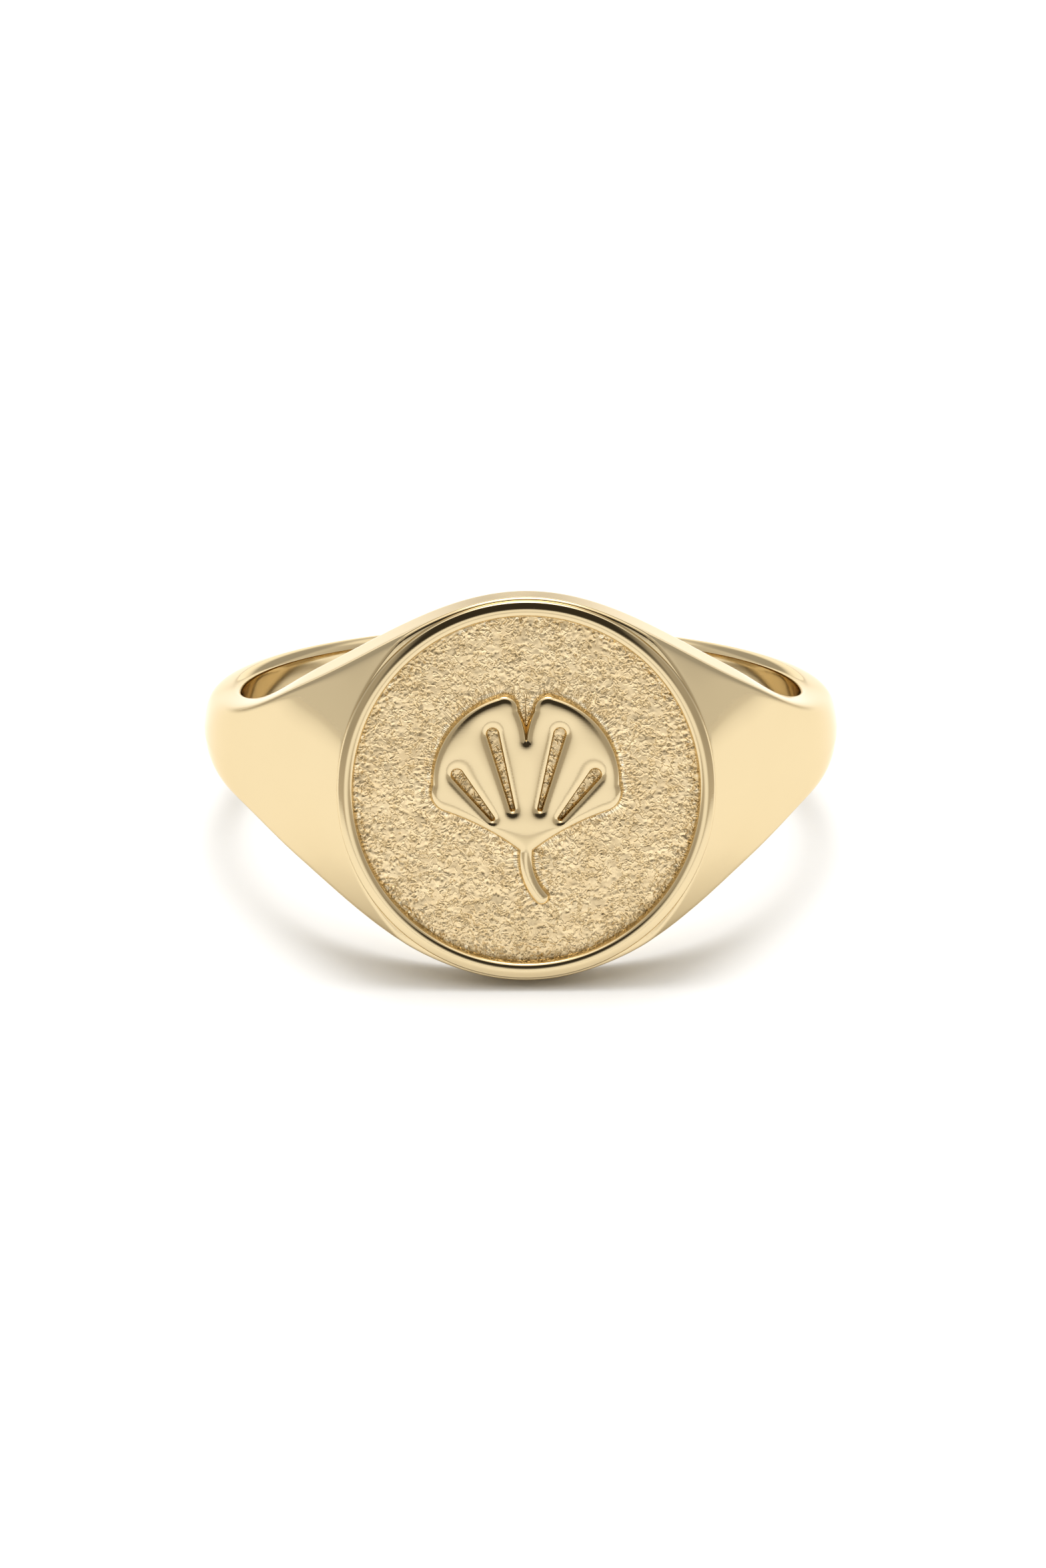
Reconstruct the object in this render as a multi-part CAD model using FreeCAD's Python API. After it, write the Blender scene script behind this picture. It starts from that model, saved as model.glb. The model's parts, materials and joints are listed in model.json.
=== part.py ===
# Signet ring, built the way a goldsmith assembles one.
#
#     shank        cast hoop, shoulders and head in one piece, with a pocket turned into its face
#     field_plate  disc with the textured field, lying on the pocket's floor
#     bezel_rim    turned rim whose skirt stands in the pocket and whose lip holds the plate down
#     emblem       raised ginkgo leaf with two pegs that pass through the plate
#
# Every piece is modelled in the ring's own frame: X across the hoop, -Y out of the signet face,
# +Z along the finger bore, origin at the bore's centre. The last step leans the whole ring back
# about X until the foot of its head and the back of its band stand on the same level.
# Lengths are in millimetres. Angles are in degrees round the bore, 0 at the back of the band and
# 180 at the middle of the face.

import FreeCAD, Part
import math
import os

Vector = FreeCAD.Vector

# Finger bore
BORE_R = 9.07
BORE_EDGE_R = 0.30

# Band: wall thickness and half its height along the finger
BACK_WALL = 1.25
SIDE_WALL = 1.30
BACK_HALF_HEIGHT = 1.42
SIDE_HALF_HEIGHT = 1.32

# Shoulders: straight runs that leave the band here and slope up to the face
SHOULDER_ANGLE = 120.0
SHOULDER_WALL = 1.42
CROWN_FROM = 114.0
CROWN_FULL = 142.0

# Head
HEAD_HALF_HEIGHT = 6.22
HEAD_PLANE = 10.45
BELL_REACH = 10.5
BELL_POWER = 0.79
RISE_FROM = 92.0
RISE_FULL = 136.0
CROWN_STRETCH = 1.08
BLANK_PLANE = 13.2
HEAD_EDGE_R = 0.12

# Rounding of the outer corners: a share of the band's half height, drawn in by the pull to make it
# rounder, then a tight one on the shoulders
BAND_CORNER_SHARE = 0.92
BAND_CORNER_PULL = 0.13
SHOULDER_CORNER = 0.30
TIGHT_FROM = 92.0
TIGHT_FULL = 130.0

# The face is a slightly tall oval: the pieces in it are turned round, then stretched along Z
FACE_STRETCH = 1.02
SOLDER_GAP = 0.01

# Bezel rim
RIM_R = 6.00
RIM_CREST_R = 5.69
RIM_CREST_PLANE = 10.62
LIP_R = 5.53
SKIRT_R = 5.84
SKIRT_INNER_R = 5.66

# Field plate
PLATE_PLANE = 10.26
PLATE_THICKNESS = 0.60

# Emblem: the leaf's right half, its stem and its vein slots, as (x, z) about the face's centre
EMBLEM_HEIGHT = 0.36
EMBLEM_EDGE_R = 0.05
LEAF_ARCS = (
    ((0.20, -1.95), (1.28, -1.24), (2.60, -0.66)),
    ((2.60, -0.66), (2.95, -0.34), (2.96, 0.16)),
    ((2.96, 0.16), (2.30, 2.06), (0.88, 2.98)),
    ((0.88, 2.98), (0.45, 2.95), (0.26, 2.56)),
    ((0.26, 2.56), (0.10, 2.12), (0.00, 1.62)),
)
STEM_ARCS = (
    ((0.20, -1.95), (0.29, -2.78), (0.68, -3.40)),
    ((0.68, -3.40), (0.60, -3.66), (0.32, -3.62)),
    ((0.32, -3.62), (-0.10, -2.88), (-0.20, -1.95)),
)
SLOT_ROOT = (0.0, -2.30)
SLOTS = ((-38.0, 1.75, 3.55), (-14.5, 1.75, 4.25), (14.5, 1.75, 4.25), (38.0, 1.75, 3.55))
SLOT_NARROW = 0.07
SLOT_WIDE = 0.19
PEG_R = 0.30
PEG_AT = ((-1.62, 1.05), (1.62, 1.05))

# Poles of the blank's skin
RING_STEPS = 96
WALL_SHARES = (0.0, 0.33, 0.67, 1.0)
TOP_SHARES = (0.0, 0.5, 1.0)
SKIN_INSET = 0.9


def smooth(value, low, high):
    """0 below low, 1 above high, and a smooth rise between them."""
    share = min(1.0, max(0.0, (value - low) / (high - low)))
    return share * share * (3.0 - 2.0 * share)


def blend(start, end, share):
    return start + (end - start) * share


def outline_radius(angle):
    """The hoop's outline at mid-height: a round band, straight shoulders and a flat blank face."""
    wall = blend(BACK_WALL, SIDE_WALL, smooth(angle, 0.0, 90.0))
    wall = blend(wall, SHOULDER_WALL, smooth(angle, 90.0, SHOULDER_ANGLE))
    run = math.radians(max(0.0, angle - SHOULDER_ANGLE))
    shoulder = (BORE_R + wall) / math.cos(run)
    if angle <= 90.0:
        return shoulder
    blank = BLANK_PLANE / -math.cos(math.radians(angle))
    return (shoulder**-12 + blank**-12) ** (-1.0 / 12.0)


def half_height(x, angle):
    """Half the height along the finger: the band's at the back, a bell over the head in front."""
    if angle < 90.0:
        return blend(BACK_HALF_HEIGHT, SIDE_HALF_HEIGHT, math.sin(math.radians(angle)) ** 2)
    across = min(1.0, abs(x) / BELL_REACH)
    bell = ((1.0 + math.cos(math.pi * across)) / 2.0) ** BELL_POWER
    return blend(SIDE_HALF_HEIGHT, HEAD_HALF_HEIGHT, bell * smooth(angle, RISE_FROM, RISE_FULL))


def wall_radius(angle, z):
    """The outer skin's radius at a height, where the shoulders crown towards the face's axis."""
    sine = math.sin(math.radians(angle))
    cosine = math.cos(math.radians(angle))
    crown = smooth(angle, CROWN_FROM, CROWN_FULL) ** 0.5 * z / CROWN_STRETCH
    inside, outside = BORE_R, 2.0 * BLANK_PLANE
    for _ in range(40):
        radius = (inside + outside) / 2.0
        across = math.hypot(radius * sine, crown)
        y = radius * cosine
        if math.hypot(across, y) < outline_radius(math.degrees(math.atan2(across, y))):
            inside = radius
        else:
            outside = radius
    return inside


def half_section(angle):
    """Poles (radius, z) of the upper half of a section, from mid-height outside to inside."""
    sine = math.sin(math.radians(angle))
    corner_radius = wall_radius(angle, 0.0)
    for _ in range(8):
        corner_height = half_height(corner_radius * sine, angle)
        corner_radius = wall_radius(angle, corner_height)
    tightness = smooth(angle, TIGHT_FROM, TIGHT_FULL)
    corner = blend(BAND_CORNER_SHARE * corner_height, SHOULDER_CORNER, tightness)
    poles = []
    for share in WALL_SHARES:
        z = share * (corner_height - corner)
        poles.append((wall_radius(angle, z), z))
    pull = blend(BAND_CORNER_PULL * corner, 0.0, tightness)
    poles.append((corner_radius - pull, corner_height - pull))
    for share in TOP_SHARES:
        radius = blend(corner_radius - corner, BORE_R - SKIN_INSET, share)
        poles.append((radius, half_height(radius * sine, angle)))
    poles.append((BORE_R - SKIN_INSET, corner_height / 2.0))
    return poles


def section(angle):
    """The section's closed ring of poles. It starts inside the bore, where boring removes the seam."""
    upper = half_section(min(angle, 360.0 - angle))
    lower = [(radius, -z) for radius, z in reversed(upper[1:])]
    sine = math.sin(math.radians(angle))
    cosine = math.cos(math.radians(angle))
    return [Vector(radius * sine, radius * cosine, z) for radius, z in lower + upper]


def blank():
    """The ring blank: one smooth skin, closed round the bore and round its section."""
    poles = [section(360.0 * step / RING_STEPS) for step in range(RING_STEPS)]
    around = len(poles)
    across = len(poles[0])
    skin = Part.BSplineSurface()
    skin.buildFromPolesMultsKnots(
        poles,
        [1] * (around + 1),
        [1] * (across + 1),
        list(range(around + 1)),
        list(range(across + 1)),
        True,
        True,
        3,
        3,
    )
    solid = Part.Solid(Part.Shell([skin.toShape()]))
    if solid.Volume < 0.0:
        solid.reverse()
    return solid


def disc(radius, inner_plane, outer_plane):
    """A round disc about the face's axis, between two planes given by their distance from the bore."""
    foot = Vector(0, -inner_plane, 0)
    return Part.makeCylinder(radius, outer_plane - inner_plane, foot, Vector(0, -1, 0))


def stretched(shape):
    """The shape drawn out along Z to the face's oval."""
    matrix = FreeCAD.Matrix()
    matrix.scale(1.0, 1.0, FACE_STRETCH)
    return shape.transformGeometry(matrix)


def edges_where(shape, test):
    """The edges whose start, middle and end all pass a test."""
    found = []
    for edge in shape.Edges:
        start, end = edge.ParameterRange
        points = [edge.valueAt(blend(start, end, share)) for share in (0.0, 0.5, 1.0)]
        if all(test(point) for point in points):
            found.append(edge)
    return found


def pocket_floor():
    return PLATE_PLANE - PLATE_THICKNESS - SOLDER_GAP


def shank():
    """The blank, bored with eased edges, faced off, and turned out for the plate and the rim."""
    ring = blank().cut(Part.makeCylinder(BORE_R, 20.0, Vector(0, 0, -10.0)))
    on_bore = edges_where(ring, lambda point: math.hypot(point.x, point.y) < BORE_R + 0.01)
    ring = ring.makeFillet(BORE_EDGE_R, on_bore)
    ring = ring.cut(Part.makeBox(40.0, 10.0, 40.0, Vector(-20.0, -HEAD_PLANE - 10.0, -20.0)))
    on_face = edges_where(ring, lambda point: point.y < -HEAD_PLANE + 0.001)
    ring = ring.makeFillet(HEAD_EDGE_R, on_face)
    pocket = stretched(disc(SKIRT_R + SOLDER_GAP, pocket_floor(), HEAD_PLANE + 1.0))
    return ring.cut(pocket).Solids[0]


def bezel_rim():
    """Crest, inner slope and lip on a skirt, turned about the face's axis."""
    seat = HEAD_PLANE + SOLDER_GAP
    lip = PLATE_PLANE + SOLDER_GAP
    foot = pocket_floor() + SOLDER_GAP
    points = [
        Vector(RIM_CREST_R, -RIM_CREST_PLANE, 0),
        Vector(LIP_R, -lip, 0),
        Vector(SKIRT_INNER_R, -lip, 0),
        Vector(SKIRT_INNER_R, -foot, 0),
        Vector(SKIRT_R, -foot, 0),
        Vector(SKIRT_R, -seat, 0),
        Vector(RIM_R, -seat, 0),
    ]
    outline = [Part.makeLine(start, end) for start, end in zip(points, points[1:])]
    crest_centre = Vector(RIM_CREST_R, -seat, 0)
    crest = Part.Ellipse(points[-1], points[0], crest_centre)
    outline.append(crest.toShape(0.0, math.pi / 2.0))
    profile = Part.Face(Part.Wire(Part.__sortEdges__(outline)))
    return stretched(profile.revolve(Vector(0, 0, 0), Vector(0, 1, 0), 360.0))


def peg(x, z, radius):
    """A round peg from the plate's back to the middle of the leaf's height."""
    foot = Vector(x, PLATE_THICKNESS - PLATE_PLANE, z)
    return Part.makeCylinder(radius, PLATE_THICKNESS + EMBLEM_HEIGHT / 2.0, foot, Vector(0, -1, 0))


def field_plate():
    plate = stretched(disc(SKIRT_INNER_R - SOLDER_GAP, PLATE_PLANE - PLATE_THICKNESS, PLATE_PLANE))
    for x, z in PEG_AT:
        plate = plate.cut(peg(x, z, PEG_R + SOLDER_GAP))
    return plate.Solids[0]


def leaf_arc(start, middle, end):
    """An arc through three (x, z) points, lying on the plate's face."""
    level = -PLATE_PLANE - SOLDER_GAP
    points = [Vector(x, level, z) for x, z in (start, middle, end)]
    return Part.Arc(*points).toShape()


def raised(edges):
    """The outline those edges close, raised from the plate's face to the emblem's height."""
    face = Part.Face(Part.Wire(Part.__sortEdges__(edges)))
    return face.extrude(Vector(0, SOLDER_GAP - EMBLEM_HEIGHT, 0))


def slot(lean, start, end):
    """A vein slot that widens away from the stem, with round ends."""
    lean = math.radians(lean)

    def at(along, aside):
        x = SLOT_ROOT[0] + along * math.sin(lean) + aside * math.cos(lean)
        z = SLOT_ROOT[1] + along * math.cos(lean) - aside * math.sin(lean)
        return x, z

    level = -PLATE_PLANE - SOLDER_GAP
    sides = []
    for aside in (-1.0, 1.0):
        near, far = at(start, aside * SLOT_NARROW), at(end, aside * SLOT_WIDE)
        sides.append(Part.makeLine(Vector(near[0], level, near[1]), Vector(far[0], level, far[1])))
    root = leaf_arc(at(start, -SLOT_NARROW), at(start - SLOT_NARROW, 0.0), at(start, SLOT_NARROW))
    tip = leaf_arc(at(end, -SLOT_WIDE), at(end + SLOT_WIDE, 0.0), at(end, SLOT_WIDE))
    return raised(sides + [root, tip])


def emblem():
    """A ginkgo leaf with pierced veins and softened edges, on two pegs."""
    right = [leaf_arc(*arc) for arc in LEAF_ARCS]
    left = [leaf_arc(*[(-x, z) for x, z in arc]) for arc in LEAF_ARCS]
    stem = [leaf_arc(*arc) for arc in STEM_ARCS]
    leaf = raised(right + left + stem)
    for lean, start, end in SLOTS:
        leaf = leaf.cut(slot(lean, start, end))
    top = -PLATE_PLANE - EMBLEM_HEIGHT
    leaf = leaf.makeFillet(EMBLEM_EDGE_R, edges_where(leaf, lambda point: point.y < top + 0.001))
    for x, z in PEG_AT:
        leaf = leaf.fuse(peg(x, z, PEG_R))
    return leaf.removeSplitter().Solids[0]


def lean_angle():
    """The lean at which the foot of the head and the back of the band stand on one level."""
    head = Vector(0, -BORE_R - BORE_EDGE_R, -HEAD_HALF_HEIGHT)
    back = Vector(0, BORE_R + 0.40 * BACK_WALL, -0.94 * BACK_HALF_HEIGHT)
    return math.degrees(math.atan2(back.z - head.z, back.y - head.y))


def main():
    os.makedirs("parts", exist_ok=True)
    lean = lean_angle()
    for make in (shank, field_plate, bezel_rim, emblem):
        shape = make()
        shape.rotate(Vector(0, 0, 0), Vector(1, 0, 0), -lean)
        shape.exportStep("parts/%s.step" % make.__name__)


main()
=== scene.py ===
import json
import math

import bmesh
import bpy
import numpy as np
from mathutils import Matrix, Vector
from mathutils.geometry import delaunay_2d_cdt


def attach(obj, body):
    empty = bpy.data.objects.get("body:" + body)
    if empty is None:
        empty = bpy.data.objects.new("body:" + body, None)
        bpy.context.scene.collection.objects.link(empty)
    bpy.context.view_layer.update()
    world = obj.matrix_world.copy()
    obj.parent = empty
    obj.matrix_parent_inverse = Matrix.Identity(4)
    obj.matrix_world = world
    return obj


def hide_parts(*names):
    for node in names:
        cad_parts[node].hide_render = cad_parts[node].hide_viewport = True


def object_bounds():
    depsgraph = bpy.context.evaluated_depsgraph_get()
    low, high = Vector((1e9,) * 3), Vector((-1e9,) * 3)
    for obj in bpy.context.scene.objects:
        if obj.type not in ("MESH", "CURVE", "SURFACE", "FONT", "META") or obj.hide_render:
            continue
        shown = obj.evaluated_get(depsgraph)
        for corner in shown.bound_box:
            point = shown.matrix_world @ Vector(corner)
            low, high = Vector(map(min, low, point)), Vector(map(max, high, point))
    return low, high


# Signet ring. Lengths here are millimetres in the ring's own frame, as in part.py: X across the
# hoop, -Y out of the face, +Z along the bore. placed() leans that frame back and turns it to metres.
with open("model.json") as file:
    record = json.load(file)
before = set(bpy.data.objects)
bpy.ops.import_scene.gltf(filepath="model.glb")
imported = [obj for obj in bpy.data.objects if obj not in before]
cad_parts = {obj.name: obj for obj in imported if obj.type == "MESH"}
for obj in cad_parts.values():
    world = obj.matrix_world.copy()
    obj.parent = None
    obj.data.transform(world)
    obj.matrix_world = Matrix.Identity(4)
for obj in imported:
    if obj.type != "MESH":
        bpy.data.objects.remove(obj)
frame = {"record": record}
CAD_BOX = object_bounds()
BORE = frame["record"]["mounts"][0]
LEAN_SIN, LEAN_COS = BORE["axis"][1], BORE["axis"][2]

BORE_R = BORE["dims"]["r_mm"]
BORE_EDGE_R = 0.30
BACK_WALL = 1.25
SIDE_WALL = 1.30
BACK_HALF_HEIGHT = 1.42
SIDE_HALF_HEIGHT = 1.32
SHOULDER_ANGLE = 120.0
SHOULDER_WALL = 1.42
CROWN_FROM = 114.0
CROWN_FULL = 142.0
HEAD_HALF_HEIGHT = 6.22
HEAD_PLANE = 10.45
BELL_REACH = 10.5
BELL_POWER = 0.79
RISE_FROM = 92.0
RISE_FULL = 136.0
CROWN_STRETCH = 1.08
BLANK_PLANE = 13.2
HEAD_EDGE_R = 0.14
BAND_CORNER_SHARE = 0.92
BAND_CORNER_PULL = 0.13
SHOULDER_CORNER = 0.30
TIGHT_FROM = 92.0
TIGHT_FULL = 130.0
RING_STEPS = 96
WALL_SHARES = (0.0, 0.33, 0.67, 1.0)
TOP_SHARES = (0.0, 0.5, 1.0)
SKIN_INSET = 0.9

FACE_STRETCH = 1.02
POCKET_R = 5.85
POCKET_FLOOR = 9.65
PLATE_R = 5.65
PLATE_PLANE = 10.26
PLATE_BACK = 9.66
EMBLEM_HEIGHT = 0.36
EDGE_DROP = 0.074
EDGE_RUN = 0.051
PILLOW_CURVE = 0.20
LEAF_DRAFT = 0.085
SLOT_DRAFT = 0.045
LEAF_SINK = 0.10
LEAF_ARCS = (
    ((0.20, -1.95), (1.28, -1.24), (2.60, -0.66)),
    ((2.60, -0.66), (2.95, -0.34), (2.96, 0.16)),
    ((2.96, 0.16), (2.30, 2.06), (0.88, 2.98)),
    ((0.88, 2.98), (0.45, 2.95), (0.26, 2.56)),
    ((0.26, 2.56), (0.10, 2.12), (0.00, 1.62)),
)
STEM_ARCS = (
    ((0.20, -1.95), (0.29, -2.78), (0.68, -3.40)),
    ((0.68, -3.40), (0.60, -3.66), (0.32, -3.62)),
    ((0.32, -3.62), (-0.10, -2.88), (-0.20, -1.95)),
)
SLOT_ROOT = (0.0, -2.30)
SLOTS = ((-38.0, 1.75, 3.55), (-14.5, 1.75, 4.25), (14.5, 1.75, 4.25), (38.0, 1.75, 3.55))
SLOT_NARROW = 0.07
SLOT_WIDE = 0.19

# The rim's section: (radius, distance from the bore's axis) and the rounding of each inner corner.
RIM_CORNERS = (
    (5.67, 9.67),
    (5.67, 10.235),
    (5.455, 10.235),
    (5.470, 10.30),
    (5.505, 10.612),
    (5.70, 10.628),
    (5.80, 10.624),
    (5.955, 10.578),
    (5.992, 10.50),
    (6.00, 10.462),
    (5.84, 10.462),
    (5.84, 9.67),
)
RIM_ROUNDING = (0.0, 0.0, 0.0, 0.155, 0.70, 0.45, 0.05, 0.03, 0.0, 0.0)
RIM_INSIDE_R = 5.42

# Meshing, in millimetres where it isn't a count.
SHANK_TURNS, SKIN_ROWS, EDGE_ROWS, BORE_ROWS = 448, 52, 9, 6
RIM_TURNS = 512
LEAF_INSETS = (0.012, 0.028, 0.050, 0.080, 0.115)
LEAF_PITCH = 0.042
PILLOW_ROUNDS = 900
FIELD_CELLS = 306
RELIEF_PITCH = 0.0185
RELIEF_HALF = 5.85
STROKES, STROKE_REACH_R = 5000, 5.7
PITS = 900
LEAF_MARKS = 1500
RIM_MARKS = 1300
RELIEF_SEED = 11

# The studio: the table in metres, light levels by elevation or inside cones, angles in degrees.
FLOOR_R = 0.24
FLOOR_PALE_R, FLOOR_SHADE_R = 0.05, 0.15
WALLS_BEHIND = ((0.0, 0.265), (12.0, 0.258), (38.0, 0.25), (46.0, 0.375), (58.0, 0.458))
WALLS_TINT = (1.0, 0.985, 0.955)
ROOM_IN_FRONT = ((0.0, 0.215), (3.0, 0.20), (10.0, 0.16), (46.0, 0.17), (56.0, 0.40), (64.0, 0.458))
ROOM_TINT = (1.0, 0.935, 0.83)
LOW_GLOWS = ((0.0, 15.0, 5.0, 0.40), (180.0, 32.0, 16.0, 0.46))
FLAG_AZIMUTHS = (-137.0, 137.0)
WORLD_STRENGTH = 3.36

CAMERA_TILT, CAMERA_YAW = 12.1, -1.0
CAMERA_DISTANCE = 300.0
CAMERA_AIM = (0.0, -10.6, 0.0)
CAMERA_LENS = 217.7456
CAMERA_SHIFT = (-0.002127, 0.004466)


def placed(points):
    """Points of the ring's frame in the row frame, in metres."""
    points = np.asarray(points, float).reshape(-1, 3) * 0.001
    x, y, z = points.T
    return np.stack([x, LEAN_COS * y + LEAN_SIN * z, LEAN_COS * z - LEAN_SIN * y], axis=1)


def smooth(value, low, high):
    share = np.clip((value - low) / (high - low), 0.0, 1.0)
    return share * share * (3.0 - 2.0 * share)


def blend(start, end, share):
    return start + (end - start) * share


# ---------------------------------------------------------------- shank

def outline_radius(angle):
    """The hoop's outline at mid-height: a round band, straight shoulders and a flat blank face."""
    wall = blend(BACK_WALL, SIDE_WALL, smooth(angle, 0.0, 90.0))
    wall = blend(wall, SHOULDER_WALL, smooth(angle, 90.0, SHOULDER_ANGLE))
    run = math.radians(max(0.0, angle - SHOULDER_ANGLE))
    shoulder = (BORE_R + wall) / math.cos(run)
    if angle <= 90.0:
        return shoulder
    flat = BLANK_PLANE / -math.cos(math.radians(angle))
    return (shoulder**-12 + flat**-12) ** (-1.0 / 12.0)


def half_height(x, angle):
    """Half the height along the finger: the band's at the back, a bell over the head in front."""
    if angle < 90.0:
        return blend(BACK_HALF_HEIGHT, SIDE_HALF_HEIGHT, math.sin(math.radians(angle)) ** 2)
    across = min(1.0, abs(x) / BELL_REACH)
    bell = ((1.0 + math.cos(math.pi * across)) / 2.0) ** BELL_POWER
    return blend(SIDE_HALF_HEIGHT, HEAD_HALF_HEIGHT, bell * smooth(angle, RISE_FROM, RISE_FULL))


def wall_radius(angle, z):
    """The outer skin's radius at a height, where the shoulders crown towards the face's axis."""
    sine = math.sin(math.radians(angle))
    cosine = math.cos(math.radians(angle))
    crown = smooth(angle, CROWN_FROM, CROWN_FULL) ** 0.5 * z / CROWN_STRETCH
    inside, outside = BORE_R, 2.0 * BLANK_PLANE
    for _ in range(40):
        radius = (inside + outside) / 2.0
        across = math.hypot(radius * sine, crown)
        y = radius * cosine
        if math.hypot(across, y) < outline_radius(math.degrees(math.atan2(across, y))):
            inside = radius
        else:
            outside = radius
    return inside


def half_section(angle):
    """Poles (radius, z) of the upper half of a section, from mid-height outside to inside."""
    sine = math.sin(math.radians(angle))
    corner_radius = wall_radius(angle, 0.0)
    for _ in range(8):
        corner_height = half_height(corner_radius * sine, angle)
        corner_radius = wall_radius(angle, corner_height)
    tightness = smooth(angle, TIGHT_FROM, TIGHT_FULL)
    corner = blend(BAND_CORNER_SHARE * corner_height, SHOULDER_CORNER, tightness)
    poles = []
    for share in WALL_SHARES:
        z = share * (corner_height - corner)
        poles.append((wall_radius(angle, z), z))
    pull = blend(BAND_CORNER_PULL * corner, 0.0, tightness)
    poles.append((corner_radius - pull, corner_height - pull))
    for share in TOP_SHARES:
        radius = blend(corner_radius - corner, BORE_R - SKIN_INSET, share)
        poles.append((radius, half_height(radius * sine, angle)))
    poles.append((BORE_R - SKIN_INSET, corner_height / 2.0))
    return poles


def section(angle):
    upper = half_section(min(angle, 360.0 - angle))
    lower = [(radius, -z) for radius, z in reversed(upper[1:])]
    sine = math.sin(math.radians(angle))
    cosine = math.cos(math.radians(angle))
    return [(radius * sine, radius * cosine, z) for radius, z in lower + upper]


def spline_weights(values, count):
    """Weights of a closed cubic B-spline's poles at each value, in a new last axis."""
    values = np.asarray(values, float)
    span = np.floor(values).astype(int)
    t = values - span
    parts = ((1 - t) ** 3, 3 * t**3 - 6 * t**2 + 4, -3 * t**3 + 3 * t**2 + 3 * t + 1, t**3)
    weights = np.zeros(values.shape + (count,))
    for k, part in enumerate(parts):
        index = ((span - 1 + k) % count)[..., None]
        np.put_along_axis(weights, index, np.take_along_axis(weights, index, -1) + part[..., None] / 6.0, -1)
    return weights


def shank_grid(around, skin_rows, edge_rows, bore_rows):
    """The bored hoop before its face is cut: a closed grid, around the bore by round the section."""
    poles = np.array([section(360.0 * step / RING_STEPS) for step in range(RING_STEPS)])
    count = poles.shape[1]
    middle = (count - 1) / 2.0
    turns = np.linspace(0.0, RING_STEPS, around, endpoint=False)
    rings = np.einsum("uk,kvc->uvc", spline_weights(turns, RING_STEPS), poles)

    fine = np.linspace(middle, count, 400)
    skin = np.einsum("vk,ukc->uvc", spline_weights(fine, count), rings)
    radius, height = np.hypot(skin[..., 0], skin[..., 1]), skin[..., 2]
    slope_r, slope_z = np.gradient(radius, axis=1), np.gradient(height, axis=1)
    length = np.hypot(slope_r, slope_z)
    normal_r, normal_z = slope_z / length, -slope_r / length
    inner = radius - BORE_EDGE_R * normal_r
    seat = BORE_R + BORE_EDGE_R

    grid = []
    for u in range(around):
        reached = int(np.argmax((inner[u] < seat) & (normal_z[u] > 0.5)))
        share = (inner[u, reached - 1] - seat) / (inner[u, reached - 1] - inner[u, reached])
        end = blend(fine[reached - 1], fine[reached], share)
        values = np.linspace(middle, end, skin_rows)
        points = spline_weights(values, count) @ rings[u]
        tilt = math.atan2(
            blend(normal_z[u, reached - 1], normal_z[u, reached], share),
            blend(normal_r[u, reached - 1], normal_r[u, reached], share),
        )
        centre_z = points[-1, 2] - BORE_EDGE_R * math.sin(tilt)
        turn = np.linspace(tilt, math.pi, edge_rows + 1)[1:]
        edge_r = seat + BORE_EDGE_R * np.cos(turn)
        edge_z = centre_z + BORE_EDGE_R * np.sin(turn)
        bore_z = np.linspace(centre_z, 0.0, bore_rows + 1)[1:]
        heading = math.atan2(points[-1, 0], points[-1, 1])
        lay_r = np.concatenate([edge_r, np.full(bore_rows, BORE_R)])
        lay_z = np.concatenate([edge_z, bore_z])
        inside = np.stack([lay_r * math.sin(heading), lay_r * math.cos(heading), lay_z], axis=1)
        upper = np.concatenate([points, inside])
        lower = upper[-2:0:-1] * (1.0, 1.0, -1.0)
        grid.append(np.concatenate([upper, lower]))
    return np.array(grid)


def grid_faces(rows, columns):
    """Quads of a grid closed both ways."""
    quads = []
    for i in range(rows):
        for j in range(columns):
            a, b = i * columns + j, i * columns + (j + 1) % columns
            c, d = (i + 1) % rows * columns + (j + 1) % columns, (i + 1) % rows * columns + j
            quads.append((a, b, c, d))
    return quads


def boundary_loop(bm):
    """The vertices of the mesh's one open edge loop, in order."""
    start = next(e for e in bm.edges if len(e.link_faces) == 1).verts[0]
    loop, previous, vert = [start], None, start
    while True:
        for edge in vert.link_edges:
            other = edge.other_vert(vert)
            if len(edge.link_faces) == 1 and other is not previous:
                break
        if other is start:
            return loop
        loop.append(other)
        previous, vert = vert, other


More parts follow.
